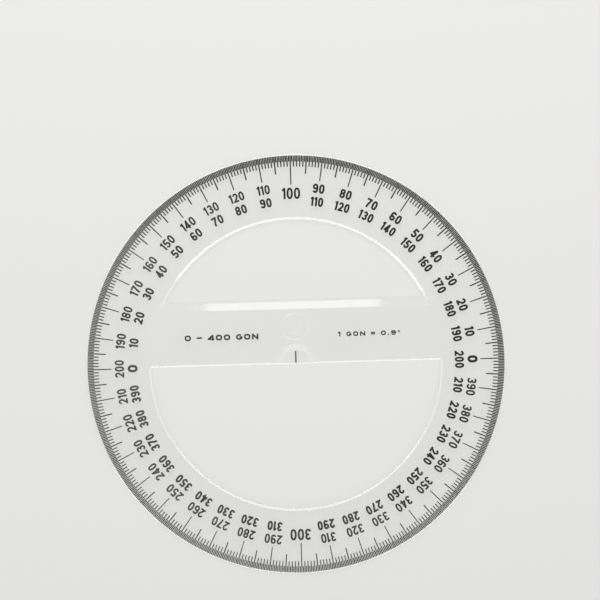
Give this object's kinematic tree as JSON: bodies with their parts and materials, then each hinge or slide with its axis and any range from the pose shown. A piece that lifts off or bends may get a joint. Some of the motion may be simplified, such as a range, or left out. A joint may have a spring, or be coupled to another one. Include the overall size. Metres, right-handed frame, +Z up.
{
  "type": "full-circle protractor",
  "caption": "Clear moulded full-circle drawing protractor in gon, with a bevelled graduated rim, a crossbar on the diameter, a thinned centre and two open windows.",
  "frame": {"origin": "centre of the graduated circle, on the underside that lies on the paper", "axes": "+X along the diameter to the 0 mark, +Y to the 100 mark, +Z up through the printed reading face"},
  "size_m": [0.15, 0.15, 0.0021],
  "materials": {
    "clear_plastic": "clear polished polystyrene moulding",
    "black_ink": "opaque black stamped print"
  },
  "bodies": {
    "root": {"moulded_plate": "clear_plastic", "graduation_print": "black_ink", "centre_mark_print": "black_ink"}
  },
  "joints": []
}
